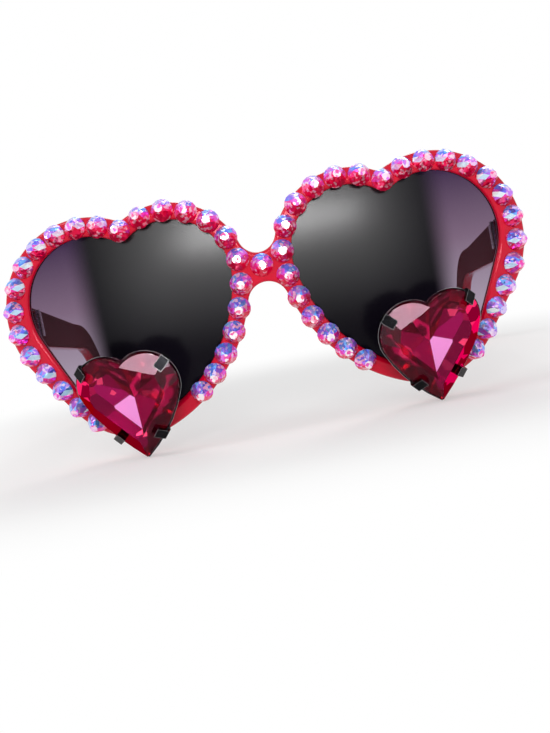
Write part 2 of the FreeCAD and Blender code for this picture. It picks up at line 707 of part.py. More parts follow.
plan_block = extrude("plan_block", temple_plan, UPRIGHT, "Sizes.temple_to_bend",
                     "Sizes.temple_to_bend")
temple_blank = combine("Part::Common", "temple_blank", side_block, plan_block)
doc.recompute()

temple_rounds = []
for number, edge in enumerate(temple_blank.Shape.Edges, start=1):
    extent = edge.BoundBox
    on_butt = extent.YMax < SAME_PLACE
    across = extent.XLength > max(extent.YLength, extent.ZLength)
    if not on_butt and not across:
        size = value("Sizes.temple_edge_round")
        temple_rounds.append((number, size, size))
temple_rounded = doc.addObject("Part::Fillet", "temple_rounded")
temple_rounded.Base = temple_blank
temple_rounded.Edges = temple_rounds
bind(temple_rounded, x=INNER_FACE, y="Sizes.endpiece_back + Sizes.temple_gap", z="-Sizes.hinge_drop")
temple_left = combine("Part::Cut", "temple_left", temple_rounded,
                      anchor("temple_pocket", TEMPLE_ANCHOR, "Sizes.hinge_seat"))
temple_right = mirror("temple_right", temple_left)


def faceted(faces):
    """Solid bounded by flat facets, each a ring of points."""
    shell = Part.Shell([Part.Face(Part.makePolygon(list(ring) + [ring[0]])) for ring in faces])
    solid = Part.Solid(shell)
    if solid.Volume < 0:
        solid.reverse()
    return solid


def ring(count, radius, height, turn=0.0):
    """Points round the vertical axis; turn is in steps."""
    step = FULL_TURN / count
    return [Vec(radius * math.cos((k + turn) * step), radius * math.sin((k + turn) * step), height)
            for k in range(count)]


CRYSTAL_SIDES = 8


def small_crystal():
    """Flat backed crystal: table, a star and a kite on each side and twice as many girdle facets."""
    girdle_r = value("Sizes.crystal_diameter / 2")
    table_r = value("Sizes.crystal_table / 2")
    mid_r = value("Sizes.crystal_shoulder / 2")
    top = value("Sizes.crystal_height")
    belt = value("Sizes.crystal_girdle")
    slope = (top - belt) / (girdle_r - table_r)
    mid_z = top - slope * (mid_r * math.cos(math.pi / CRYSTAL_SIDES) - table_r)
    table = ring(CRYSTAL_SIDES, table_r, top)
    middle = ring(CRYSTAL_SIDES, mid_r, mid_z, 0.5)
    girdle = ring(2 * CRYSTAL_SIDES, girdle_r, belt)
    base = ring(2 * CRYSTAL_SIDES, girdle_r, 0)
    faces = [table, base]
    for k in range(CRYSTAL_SIDES):
        after = (k + 1) % CRYSTAL_SIDES
        faces.append((table[k], middle[k], table[after]))
        faces.append((table[k], middle[k - 1], girdle[2 * k], middle[k]))
        faces.append((middle[k], girdle[2 * k], girdle[2 * k + 1]))
        faces.append((middle[k], girdle[2 * k + 1], girdle[2 * after]))
    for k in range(2 * CRYSTAL_SIDES):
        after = (k + 1) % (2 * CRYSTAL_SIDES)
        faces.append((girdle[k], base[k], base[after], girdle[after]))
    return faceted(faces)


def seat_on_front(x, z, lean=0.0, turn=0.0):
    """Place on the bulging front: +Z points outwards and +Y up along the surface.

    lean tips the facing direction up and turn rolls it about that direction, in degrees.
    """
    point, outward = surface_point(x, z)
    up = UPRIGHT - outward * outward.z
    rotation = FreeCAD.Rotation(up.cross(outward), up, outward, "ZXY")
    rotation = rotation * FreeCAD.Rotation(Vec(1, 0, 0), -lean) * FreeCAD.Rotation(UPRIGHT, turn)
    return FreeCAD.Placement(point, rotation)


def arc_run(centre, radius, start, end):
    """Stretch of a path along an arc: its length and a function that finds a point on it."""
    sweep = end - start
    length = abs(sweep) * radius
    return length, lambda gone: on_arc(centre, radius, start + sweep * gone / length)


def line_run(start, end):
    length = end.sub(start).Length
    return length, lambda gone: start + end.sub(start) * (gone / length)


def crystal_paths():
    """Rows of crystals from the notch: over the inner lobe and over the outer lobe."""
    heart = Heart(CRYSTAL_LINE)
    down = -math.pi / 2
    tip_over = math.radians(60)
    nose_end = heart.nose_end - FULL_TURN
    inner = [
        arc_run(heart.notch, heart.notch_r, down, direction(heart.notch, heart.inner)),
        arc_run(heart.inner, heart.inner_r, direction(heart.inner, heart.notch), heart.nose_start),
        arc_run(heart.nose, heart.nose_r, heart.nose_start, heart.nose_end),
        arc_run(heart.tip, heart.tip_r, nose_end, nose_end + tip_over),
    ]
    outer = [
        arc_run(heart.notch, heart.notch_r, down, direction(heart.notch, heart.outer)),
        arc_run(heart.outer, heart.outer_r, direction(heart.outer, heart.notch), heart.cheek_angle),
        line_run(on_arc(heart.outer, heart.outer_r, heart.cheek_angle),
                 on_arc(heart.tip, heart.tip_r, heart.cheek_angle)),
        arc_run(heart.tip, heart.tip_r, heart.cheek_angle, heart.cheek_angle - tip_over),
    ]
    return inner, outer


HALVINGS = 40


def walk(path, count):
    """Points along a path, starting at its head, one crystal pitch apart in space."""
    total = sum(length for length, find in path)

    def flat_point(gone):
        for length, find in path:
            if gone <= length:
                return find(gone)
            gone -= length
        return path[-1][1](path[-1][0])

    def in_space(gone):
        spot = flat_point(gone)
        return surface_point(spot.x, spot.y)[0]

    pitch = value("Sizes.crystal_pitch")
    gone = 0.0
    spots = [flat_point(gone)]
    while len(spots) < count:
        here = in_space(gone)
        low, high = gone, min(gone + 2 * pitch, total)
        for halving in range(HALVINGS):
            middle = (low + high) / 2
            if in_space(middle).distanceToPoint(here) < pitch:
                low = middle
            else:
                high = middle
        gone = high
        spots.append(flat_point(gone))
    return spots


INNER_COUNT = 13
OUTER_COUNT = 14
inner_path, outer_path = crystal_paths()
inner_spots = walk(inner_path, INNER_COUNT)
outer_spots = walk(outer_path, OUTER_COUNT)
CRYSTAL_ROWS = {
    "notch_crystal": inner_spots[:1],
    "inner_lobe_crystals": inner_spots[1:7],
    "nose_side_crystals": inner_spots[7:],
    "outer_lobe_crystals": outer_spots[1:8],
    "cheek_side_crystals": outer_spots[8:],
}
crystal = small_crystal()
crystal_lift = FreeCAD.Placement(Vec(0, 0, value("Sizes.crystal_glue")), FreeCAD.Rotation())


def crystal_row(name, spots, side):
    """Crystals glued to the front at the given spots, as separate solids."""
    solids = []
    for spot in spots:
        stone = crystal.copy()
        stone.Placement = seat_on_front(side * spot.x, spot.y) * crystal_lift
        solids.append(stone)
    row = doc.addObject("Part::Feature", name)
    row.Shape = Part.makeCompound(solids) if len(solids) > 1 else solids[0]
    return row


crystal_nodes = [crystal_row("bridge_crystal", [Vec(0, 0, 0)], 1)]
for row_name, row_spots in CRYSTAL_ROWS.items():
    crystal_nodes.append(crystal_row(row_name + "_left", row_spots, 1))
    crystal_nodes.append(crystal_row(row_name + "_right", row_spots, -1))

# Large heart crystals, drawn about the middle of the line from notch to tip
LOBE_STEPS = 14
SIDE_STEPS = 5


def half_heart():
    """Corners of the large heart's half at positive x, from its notch to its tip."""
    half = value("Sizes.heart_length / 2")
    lobe_r = value("Sizes.heart_lobe_radius")
    side_r = value("Sizes.heart_side_radius")
    lobe_x = value("Sizes.heart_lobe_x")
    notch = Vec(0, half, 0)
    tip = Vec(0, -half, 0)
    lobe = Vec(lobe_x, half - math.sqrt(lobe_r ** 2 - lobe_x ** 2), 0)
    flank = circle_crossing(tip, side_r, lobe, side_r - lobe_r)
    meet = direction(flank, lobe)
    turns = [(lobe, lobe_r, direction(lobe, notch), meet, LOBE_STEPS),
             (flank, side_r, meet, direction(flank, tip), SIDE_STEPS)]
    points = []
    for centre, radius, start, end, steps in turns:
        points += [on_arc(centre, radius, start + (end - start) * k / steps) for k in range(steps)]
    return points + [tip]


def heart_points(share, height, spread=0.0):
    """Corners of the large heart from its notch, clockwise; spread moves the sides out."""
    right = half_heart()
    left = [Vec(-point.x, point.y, 0) for point in reversed(right[1:-1])]
    points = [point * share for point in right + left]
    if spread:
        points = spread_out(points, spread)
    return [Vec(point.x, point.y, height) for point in points]


def spread_out(points, spread):
    """Move every side of a clockwise outline out by the same distance."""
    moved = []
    for index, point in enumerate(points):
        before = point.sub(points[index - 1]).normalize()
        after = points[(index + 1) % len(points)].sub(point).normalize()
        normals = [Vec(-step.y, step.x, 0) for step in (before, after)]
        bisector = normals[0] + normals[1]
        moved.append(point + bisector * (2 * spread / bisector.Length ** 2))
    return moved


def prism(bottom, top):
    """Solid between two outlines with the same number of corners and parallel sides."""
    count = len(bottom)
    sides = [(bottom[k], bottom[(k + 1) % count], top[(k + 1) % count], top[k]) for k in range(count)]
    return faceted([bottom, top] + sides)


FLOOR = value("Sizes.setting_standoff")
GIRDLE_LOW = FLOOR + value("Sizes.setting_height")
GIRDLE_TOP = GIRDLE_LOW + value("Sizes.heart_girdle")
CROWN_TOP = GIRDLE_TOP + value("Sizes.heart_crown")
CULET = GIRDLE_LOW - value("Sizes.heart_pavilion")


# Directions, in degrees, that the facets of the half at positive x face when seen from the front
CROWN_AIMS = (68, 12, -40)
CROWN_EDGE_AIMS = (41, -15)
PAVILION_AIMS = (62, -8, -40)
PAVILION_EDGE_AIMS = (128, 100, 62, 25, -8, -24, -40, -51)
# Each claw sits flat on one of the crown facets
CLAWS = ((41, "Sizes.heart_edge_slope"), (-40, "Sizes.heart_crown_slope"))


def compass(aim):
    """Flat unit vector that points at an angle in degrees from +X."""
    return on_arc(Vec(0, 0, 0), 1, math.radians(aim))


def outermost(aim):
    """Corner of the half heart that reaches furthest in a direction."""
    ahead = compass(aim)
    return max(half_heart(), key=lambda point: point.dot(ahead))


def large_crystal():
    """Heart crystal cut flat by flat: each half from its own blank, so that the notch stays open."""
    outline = [point + Vec(0, 0, CULET) for point in half_heart()]
    half = Part.Face(Part.makePolygon(outline + [outline[0]])).extrude(Vec(0, 0, CROWN_TOP - CULET))
    size = value("2 * Sizes.heart_length")

    def grind(blank, aim, spot, slope, up):
        """Take off what lies beyond a plane through spot that faces aim and tips up or down."""
        tip = math.radians(value(slope))
        facing = compass(aim) * math.sin(tip) + Vec(0, 0, up * math.cos(tip))
        waste = Part.makeBox(size, size, size, Vec(-size / 2, -size / 2, 0))
        waste.Placement = FreeCAD.Placement(spot, FreeCAD.Rotation(UPRIGHT, facing))
        return blank.cut(waste)

    for aims, slope in ((CROWN_AIMS, "Sizes.heart_crown_slope"),
                        (CROWN_EDGE_AIMS, "Sizes.heart_edge_slope")):
        for aim in aims:
            half = grind(half, aim, outermost(aim) + Vec(0, 0, GIRDLE_TOP), slope, 1)
    # The girdle's lower edge waves between the pavilion facets and dips to the setting's rim
    pavilion_start = Vec(0, 0, GIRDLE_LOW + value("Sizes.heart_scallop"))
    for aim in PAVILION_EDGE_AIMS:
        half = grind(half, aim, outermost(aim) + pavilion_start, "Sizes.heart_pavilion_slope", -1)
    culet = Vec(0, value("Sizes.heart_culet_rise"), CULET)
    for aim in PAVILION_AIMS:
        half = grind(half, aim, culet, "Sizes.heart_culet_slope", -1)
    return half.fuse(half.mirror(Vec(0, 0, 0), Vec(1, 0, 0))).removeSplitter().Solids[0]


# Claw settings: a heart shaped cup with four claws bent over the crown
def claw(aim, slope, side):
    """One claw on the outermost spot of the cup in a direction, with its hook along a crown facet."""
    seat = value("Sizes.setting_seat")
    wall = value("Sizes.setting_wall")
    thick = value("Sizes.prong_thickness")
    reach = value("Sizes.prong_reach")
    width = value("Sizes.prong_width")
    out = compass(aim)
    middle = outermost(aim)
    rise = math.tan(math.radians(value(slope)))
    foot_drop = value("Sizes.setting_height / 4")
    draw_in = middle.dot(out) * value("(1 - Sizes.setting_base_share) / Sizes.setting_height")
    edge = seat + wall
    hook = GIRDLE_TOP + 3 * seat
    profile = [
        (edge - wall / 2 - foot_drop * draw_in, GIRDLE_LOW - foot_drop),
        (edge + thick - foot_drop * draw_in, GIRDLE_LOW - foot_drop),
        (edge + thick, GIRDLE_LOW),
        (edge + thick, GIRDLE_TOP + thick),
        (value("Sizes.prong_taper") - reach, hook + 2 * thick + rise * reach),
        (-reach, hook + rise * reach),
        (2 * seat, hook),
        (2 * seat, GIRDLE_LOW - seat),
    ]
    along = UPRIGHT.cross(out)
    start = middle - along * (width / 2)
    points = [start + out * offset + Vec(0, 0, height) for offset, height in profile]
    solid = Part.Face(Part.makePolygon(points + [points[0]])).extrude(along * width)
    return solid if side > 0 else solid.mirror(Vec(0, 0, 0), Vec(1, 0, 0))


def claw_setting():
    """Cup that carries the large crystal by its girdle, with the claws fused to it."""
    seat = value("Sizes.setting_seat")
    wall = value("Sizes.setting_wall")
    share = value("Sizes.setting_base_share")
    rim = GIRDLE_LOW - seat
    floor_top = FLOOR + value("Sizes.setting_floor")
    floor_share = share + (1 - share) * value("Sizes.setting_floor / Sizes.setting_height")
    cup = prism(heart_points(share, FLOOR, wall), heart_points(1.0, rim, seat + wall))
    hollow = prism(heart_points(floor_share, floor_top), heart_points(1.0, rim, seat))
    setting = cup.cut(hollow)
    for aim, slope in CLAWS:
        for side in (1, -1):
            setting = setting.fuse(claw(aim, slope, side))
    return setting.removeSplitter().Solids[0]


GLUE_DEPTH = "2 * Sizes.rim_depth"
HEART_TURNS = {"left": (1, "Sizes.heart_turn_left"), "right": (-1, "-Sizes.heart_turn_right")}
glue_stop = curved_shell("glue_stop", "Sizes.lens_recess", "2 * (%s)" % GLUE_DEPTH)
heart_nodes = []
for side_name, (side, turn) in HEART_TURNS.items():
    place = seat_on_front(side * value("Sizes.heart_x"), -value("Sizes.heart_drop"),
                          value("Sizes.heart_lean"), value(turn))
    stone = doc.addObject("Part::Feature", "heart_crystal_" + side_name)
    stone.Shape = large_crystal()
    stone.Placement = place
    setting = doc.addObject("Part::Feature", "claw_setting_" + side_name)
    setting.Shape = claw_setting()
    setting.Placement = place
    glue_block = doc.addObject("Part::Feature", "glue_block_" + side_name)
    glue_share = value("Sizes.glue_share")
    glue_block.Shape = prism(heart_points(glue_share, FLOOR - value(GLUE_DEPTH)),
                             heart_points(glue_share, FLOOR))
    glue_block.Placement = place
    glue_front = combine("Part::Cut", "glue_front_" + side_name, glue_block, glue_stop)
    glue = combine("Part::Cut", "glue_pad_" + side_name, glue_front, front_frame)
    heart_nodes += [stone, setting, glue]

NODES = [front_frame, lens_left, lens_right, temple_left, temple_right,
         front_hinge_left, front_hinge_right, temple_hinge_left, temple_hinge_right,
         hinge_screw_left, hinge_screw_right] + heart_nodes + crystal_nodes

doc.recompute()

# Check every object, then write one file per piece
for thing in doc.Objects:
    if "Invalid" in thing.State or "Error" in thing.State:
        raise RuntimeError("%s failed: %s" % (thing.Name, thing.State))
for node in NODES:
    node.Label = node.Name
    if node.Shape.isNull() or not node.Shape.isValid():
        raise RuntimeError("%s has no valid shape" % node.Label)

os.makedirs("parts", exist_ok=True)
for node in NODES:
    node.Shape.exportStep("parts/%s.step" % node.Label)
    extent = node.Shape.BoundBox
    print("%-26s solids %2d volume %9.2f  x %7.2f %7.2f  y %7.2f %7.2f  z %7.2f %7.2f" % (
        node.Label, len(node.Shape.Solids), node.Shape.Volume, extent.XMin, extent.XMax,
        extent.YMin, extent.YMax, extent.ZMin, extent.ZMax))
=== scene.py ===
import json
import math

import bmesh
import bpy
from mathutils import Matrix, Vector

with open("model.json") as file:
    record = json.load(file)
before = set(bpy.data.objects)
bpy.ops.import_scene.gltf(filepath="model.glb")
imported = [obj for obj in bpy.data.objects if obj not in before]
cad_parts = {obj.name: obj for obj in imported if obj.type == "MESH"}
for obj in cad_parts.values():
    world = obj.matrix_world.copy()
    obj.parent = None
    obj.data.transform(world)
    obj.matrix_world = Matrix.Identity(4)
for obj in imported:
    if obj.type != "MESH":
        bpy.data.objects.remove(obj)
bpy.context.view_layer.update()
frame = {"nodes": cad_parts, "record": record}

SIDES = ("left", "right")
MM = 0.001

# Camera of the photograph
CAMERA_PLACE = Vector((0.00536, -0.40073, 0.0096))
CAMERA_AHEAD = Vector((-0.0178, 0.9953, -0.0948))
CAMERA_UP = Vector((0.1896, 0.0965, 0.9771))
CAMERA_LENS = 70.7
CAMERA_NEAR = 0.01

# Floor and even light
FLOOR_LEVEL = -0.0484
FLOOR_RADIUS = 6.0
FLOOR_SIDES = 96
FLOOR_COLOUR = (0.95, 0.95, 0.95, 1)
SHADOW_MIDDLE = (0, 0.075, 0)
SHADOW_HALF = (0.06, 0.08, 1)
SHADOW_FADE_START = 0.0
SHADOW_FADE_END = 0.11
SHADOW_FADE_LEAST = 0.4
AMBIENT_COLOUR = (1, 1, 1, 1)
AMBIENT_STRENGTH = 0.42

# Front surface that the stones are set on
WRAP_RADIUS = 0.164
BROW_RADIUS = 0.0985

# Patterns of the materials, in features per metre
PLASTIC_CLOUDS = 60
PLASTIC_SCUFFS = 900
PLASTIC_RIPPLE = 220
LENS_CLOUDS = 35
LENS_WIPES = 260
METAL_STREAKS = 700
METAL_PATCHES = 300
GLUE_BUBBLES = 1400
CRYSTAL_SHARDS = 1100
CRYSTAL_SPARKS = 1300
HEART_FLASHES = 330

# Depths of the bumps and radii of the softened edges
RIPPLE_DEPTH = 0.4 * MM
STREAK_DEPTH = 0.08 * MM
BUBBLE_DEPTH = 0.1 * MM
PLASTIC_EDGE = 0.35 * MM
METAL_EDGE = 0.16 * MM
STREAK_STRETCH = (1, 1, 12)

# Red plastic, and the matt inner faces of the temples, darkened with painted shade
RED_DEEP = (0.56, 0.0, 0.018, 1)
RED_BRIGHT = (0.65, 0.0, 0.026, 1)
RED_GLOSS = (1.0, 0.42, 0.5, 1)
PAINTED_SHADE_RED = (0.1, 0.0, 0.006, 1)
MATT_ROUGHNESS = 0.8

# Lens: places are distances from the middle and heights on the front
LENS_SHADE_INNER = 0.047
LENS_SHADE_OUTER = 0.056
# Painted shade over the middle of each lens, with random tone
LENS_PAINTED_SHADE = ((0.35, (0.002, 0.0015, 0.003, 1)), (0.65, (0.004, 0.003, 0.006, 1)))
VIOLET_BOTTOM = -0.022
VIOLET_TOP = 0.016
LENS_VIOLET = ((0.0, (0.37, 0.3, 0.39, 1)), (0.5, (0.2, 0.13, 0.2, 1)), (1.0, (0.055, 0.028, 0.075, 1)))
GLOSS_OUTER = 0.056
GLOSS_INNER = 0.026
GLOSS_BOTTOM = -0.024
GLOSS_TOP = 0.006
GLOSS_LEAST = 0.07
GLOSS_MOST = 0.75

# Clear glue, from milky to clear
GLUE_TINTS = ((0.35, (0.8, 0.78, 0.74, 1)), (0.7, (0.93, 0.92, 0.9, 1)))

# Small crystals: stone colours change with their distance from the middle and their height
INNER_STONES = 0.02
OUTER_STONES = 0.07
LOW_STONES_TOP = -0.005
LOW_STONES_BOTTOM = -0.025
CRYSTAL_FACET_STEP = 0.03
SHARD_TILT = 0.3
HUE_BY_RISE = 0.6
HUE_BY_CHANCE = 0.36
HUE_BY_GLINT = 0.16
RAINBOW = (
    (0.0, (0.75, 0.0, 0.05, 1)), (0.12, (0.95, 0.0, 0.09, 1)), (0.24, (1.0, 0.12, 0.32, 1)),
    (0.36, (0.92, 0.01, 0.38, 1)), (0.48, (0.85, 0.12, 0.82, 1)), (0.6, (0.5, 0.2, 0.92, 1)),
    (0.72, (0.14, 0.14, 0.9, 1)), (0.82, (0.1, 0.34, 0.96, 1)), (0.9, (0.2, 0.5, 0.98, 1)),
    (1.0, (0.5, 0.28, 0.95, 1)),
)
SPARK_PINK = (1.0, 0.74, 0.92, 1)
WEDGE_REFLECTION_BLUE = (0.5, 0.78, 1.0, 1)
WEDGE_REFLECTION_WHITE = (0.92, 1.0, 0.98, 1)
TABLE_GLINT_WHITE = (1.0, 0.93, 0.97, 1)

# Seats of the heart stones, with lean and turn in degrees
HEART_X = 0.04165
HEART_Z = -0.032
HEART_LEAN = 3.0
HEART_TURN = {"left": 5.0, "right": -1.2}
GIRDLE_HEIGHT = 6.65 * MM
GIRDLE_BLUR = 0.05 * MM

# Heart stones: foil of the back, then painted glow and gloss of the crown
HEART_FACET_STEP = 0.06
HEART_FACET_SHIFT = 0.013
RUBY_EDGE = (
    (0.0, (0.38, 0.0, 0.05, 1)), (0.5, (0.62, 0.0, 0.085, 1)), (1.0, (0.92, 0.02, 0.15, 1)),
)
RUBY_MIDDLE = ((0.0, (0.2, 0.0, 0.035, 1)), (1.0, (0.42, 0.003, 0.085, 1)))
RUBY_LOW_SHADE = (0.16, 0.0, 0.03, 1)
RUBY_INNER_SHADE = (0.16, 0.0, 0.02, 1)
RUBY_INNER_SHADE_MOST = 0.65
RUBY_FLANK = (0.38, 0.004, 0.1, 1)
RUBY_FLASH = (0.95, 0.06, 0.18, 1)
KITE_REFLECTION_PINK = (0.98, 0.34, 0.78, 1)
CROWN_CLEAR = (1.0, 0.93, 0.96, 1)
GLOW_DARK = (0.24, 0.0, 0.03, 1)
GLOW_RED = (1.0, 0.03, 0.15, 1)
RUBY_GLOSS = (1.0, 0.22, 0.36, 1)
PALE_GLOSS = (1.0, 0.84, 1.0, 1)

# How far down the outer edge of each heart stone its painted bright red flashes go
FLASH_REACH = {"left": -0.65, "right": -0.15}


class Nodes:
    """Short calls for building one node tree"""

    def __init__(self, tree):
        self.tree = tree

    def add(self, kind, **settings):
        node = self.tree.nodes.new(kind)
        for name, setting in settings.items():
            setattr(node, name, setting)
        return node

    def feed(self, socket, source):
        """Links a socket to its source, or sets it where the source is a plain value"""
        if isinstance(source, bpy.types.NodeSocket):
            self.tree.links.new(source, socket)
        else:
            socket.default_value = source

    def math(self, operation, first, second=0.0, third=0.0, clamp=False):
        node = self.add("ShaderNodeMath", operation=operation, use_clamp=clamp)
        for socket, source in zip(node.inputs, (first, second, third)):
            self.feed(socket, source)
        return node.outputs[0]

    def product(self, first, *others):
        for other in others:
            first = self.math("MULTIPLY", first, other)
        return first

    def vector(self, operation, first, second=(0, 0, 0)):
        node = self.add("ShaderNodeVectorMath", operation=operation)
        self.feed(node.inputs[0], first)
        self.feed(node.inputs[1], second)
        return node.outputs["Value"] if operation in ("DOT_PRODUCT", "LENGTH") else node.outputs[0]

    def scaled(self, source, factor):
        node = self.add("ShaderNodeVectorMath", operation="SCALE")
        self.feed(node.inputs[0], source)
        self.feed(node.inputs["Scale"], factor)
        return node.outputs[0]

    def parts(self, source):
        """The three parts of a vector"""
        node = self.add("ShaderNodeSeparateXYZ")
        self.feed(node.inputs[0], source)
        return tuple(node.outputs)

    def joined(self, *sources):
        """A vector from its three parts"""
        node = self.add("ShaderNodeCombineXYZ")
        for socket, source in zip(node.inputs, sources):
            self.feed(socket, source)
        return node.outputs[0]

    def channels(self, source):
        """Red, green and blue of a colour"""
        node = self.add("ShaderNodeSeparateColor")
        self.feed(node.inputs[0], source)
        return tuple(node.outputs)

    def span(self, source, low, high, to_low=0.0, to_high=1.0, kind="LINEAR"):
        """The source, carried from one span of numbers to another and held at its ends"""
        node = self.add("ShaderNodeMapRange", interpolation_type=kind)
        for socket, value in zip(node.inputs, (source, low, high, to_low, to_high)):
            self.feed(socket, value)
        return node.outputs[0]

    def mix(self, factor, first, second):
        """A colour between two colours"""
        node = self.add("ShaderNodeMix", data_type="RGBA")
        colours = [socket for socket in node.inputs if socket.type == "RGBA"]
        self.feed(node.inputs["Factor"], factor)
        self.feed(colours[0], first)
        self.feed(colours[1], second)
        return [socket for socket in node.outputs if socket.type == "RGBA"][0]

    def ramp(self, source, stops):
        """A colour from a row of stops, each a position and its colour"""
        node = self.add("ShaderNodeValToRGB")
        elements = node.color_ramp.elements
        for position, _ in stops[1:-1]:
            elements.new(position)
        for element, (position, colour) in zip(elements, stops):
            element.position = position
            element.color = colour
        self.feed(node.inputs[0], source)
        return node.outputs[0]

    def noise(self, place, scale, detail=3.0, roughness=0.5):
        node = self.add("ShaderNodeTexNoise")
        self.feed(node.inputs["Vector"], place)
        node.inputs["Scale"].default_value = scale
        node.inputs["Detail"].default_value = detail
        node.inputs["Roughness"].default_value = roughness
        return node.outputs[0]

    def cells(self, place, scale):
        """Cells of random colours"""
        node = self.add("ShaderNodeTexVoronoi")
        self.feed(node.inputs["Vector"], place)
        node.inputs["Scale"].default_value = scale
        return node.outputs["Color"]

    def chance(self, source, step):
        """One number for all vectors that round to the same step"""
        node = self.add("ShaderNodeTexWhiteNoise")
        self.feed(node.inputs["Vector"], self.vector("SNAP", source, (step, step, step)))
        return node.outputs["Value"]

    def bump(self, height, strength, distance, base=None):
        node = self.add("ShaderNodeBump")
        self.feed(node.inputs["Height"], height)
        node.inputs["Strength"].default_value = strength
        node.inputs["Distance"].default_value = distance
        if base is not None:
            self.feed(node.inputs["Normal"], base)
        return node.outputs[0]

    def rounded(self, radius):
        """Normal with the solid's sharp edges rounded over a small radius"""
        node = self.add("ShaderNodeBevel", samples=4)
        node.inputs["Radius"].default_value = radius
        return node.outputs[0]

    def tilted(self, shards, amount):
        """Normal that leans a different way in each cell of a pattern"""
        normal = self.geometry("Normal")
        lean = self.scaled(self.vector("SUBTRACT", shards, (0.5, 0.5, 0.5)), amount)
        return self.vector("NORMALIZE", self.vector("ADD", normal, lean))

    def geometry(self, name):
        return self.add("ShaderNodeNewGeometry").outputs[name]

    def place(self):
        return self.add("ShaderNodeTexCoord").outputs["Object"]

    def facing(self):
        """Normal of the surface in the object's own axes, always pointing out of the solid"""
        normal = self.add("ShaderNodeTexCoord").outputs["Normal"]
        return self.scaled(normal, self.span(self.geometry("Backfacing"), 0, 1, 1, -1))

    def principled(self, **sources):
        """The surface of a material, with its sockets' names as keywords"""
        shader = self.add("ShaderNodeBsdfPrincipled")
        for name, source in sources.items():
            self.feed(shader.inputs[name.replace("_", " ")], source)
        output = self.add("ShaderNodeOutputMaterial")
        self.tree.links.new(shader.outputs[0], output.inputs["Surface"])


def new_material(name):
    """A material with an empty node tree, and the calls that fill it"""
    material = bpy.data.materials.new(name)
    material.use_nodes = True
    tree = material.node_tree
    tree.nodes.clear()
    return material, Nodes(tree)


def plastic_material(name, matt_inside_painted_shade):
    """Polished red moulding with softened edges, a ripple and scuffs, and, if asked, a matt inner face
    darkened with painted shade
    """
    material, nodes = new_material(name)
    place = nodes.place()
    clouds = nodes.noise(place, PLASTIC_CLOUDS)
    scuffs = nodes.noise(place, PLASTIC_SCUFFS, 5, 0.7)
    ripple = nodes.noise(place, PLASTIC_RIPPLE, 2)
    colour = nodes.ramp(clouds, ((0.3, RED_DEEP), (0.7, RED_BRIGHT)))
    rough = nodes.span(scuffs, 0.35, 0.75, 0.03, 0.12)
    if matt_inside_painted_shade:
        x = nodes.parts(place)[0]
        aim_x = nodes.parts(nodes.facing())[0]
        outward = nodes.product(aim_x, nodes.math("SIGN", x))
        inside = nodes.span(outward, -0.5, -0.8)
        # Painted shade: the inner face is darkened as if it lay in shade, and made matt
        colour = nodes.mix(inside, colour, PAINTED_SHADE_RED)
        rough = nodes.math("MULTIPLY_ADD", inside, MATT_ROUGHNESS, rough)
    nodes.principled(
        Base_Color=colour, Roughness=rough, IOR=1.5,
        Specular_IOR_Level=0.6, Specular_Tint=RED_GLOSS,
        Normal=nodes.bump(ripple, 0.08, RIPPLE_DEPTH, nodes.rounded(PLASTIC_EDGE)))
    return material


def lens_material():
    """Smoke tint with painted shade over the eye, violet towards the temple, with a soft gloss over the
    inner lobe
    """
    material, nodes = new_material("smoke_lens")
    place = nodes.place()
    x, _, z = nodes.parts(place)
    apart = nodes.math("ABSOLUTE", x)
    # Painted shade: the middle of each lens is tinted darker than its violet outer part
    dark = nodes.ramp(nodes.noise(place, LENS_CLOUDS, 2), LENS_PAINTED_SHADE)
    violet = nodes.ramp(nodes.span(z, VIOLET_BOTTOM, VIOLET_TOP), LENS_VIOLET)
    outer = nodes.span(apart, LENS_SHADE_INNER, LENS_SHADE_OUTER, kind="SMOOTHSTEP")
    gloss = nodes.product(nodes.span(apart, GLOSS_OUTER, GLOSS_INNER, kind="SMOOTHSTEP"),
                          nodes.span(z, GLOSS_BOTTOM, GLOSS_TOP, kind="SMOOTHSTEP"))
    wipes = nodes.noise(place, LENS_WIPES, 4, 0.6)
    nodes.principled(
        Base_Color=nodes.mix(outer, dark, violet), Transmission_Weight=1.0,
        Roughness=nodes.span(wipes, 0.4, 0.75, 0.0, 0.04), IOR=1.04,
        Coat_Weight=nodes.span(gloss, 0, 1, GLOSS_LEAST, GLOSS_MOST), Coat_Roughness=0.26, Coat_IOR=1.8)
    return material


def metal_material(name, dark, light, wear_and_highlight, smoothest, roughest):
    """Plated metal with brushed streaks and edges painted bright, partly as wear and partly as painted
    highlight
    """
    material, nodes = new_material(name)
    place = nodes.place()
    streaks = nodes.noise(nodes.vector("MULTIPLY", place, STREAK_STRETCH), METAL_STREAKS, 4, 0.6)
    patches = nodes.noise(place, METAL_PATCHES)
    flatness = nodes.vector("DOT_PRODUCT", nodes.rounded(METAL_EDGE), nodes.geometry("Normal"))
    # Bright edges: partly wear, partly painted highlight
    edge = nodes.span(flatness, 0.985, 0.9)
    plate = nodes.ramp(patches, ((0.3, dark), (0.7, light)))
    nodes.principled(
        Base_Color=nodes.mix(edge, plate, wear_and_highlight), Metallic=1.0,
        Roughness=nodes.span(streaks, 0.3, 0.7, smoothest, roughest),
        Normal=nodes.bump(streaks, 0.12, STREAK_DEPTH))
    return material


def glue_material():
    """Cured clear glue, slightly milky, with bubbles"""
    material, nodes = new_material("clear_glue")
    bubbles = nodes.noise(nodes.place(), GLUE_BUBBLES, 2)
    nodes.principled(
        Base_Color=nodes.ramp(bubbles, GLUE_TINTS), Transmission_Weight=0.75,
        Roughness=nodes.span(bubbles, 0.3, 0.7, 0.1, 0.3), IOR=1.48,
        Normal=nodes.bump(bubbles, 0.15, BUBBLE_DEPTH))
    return material


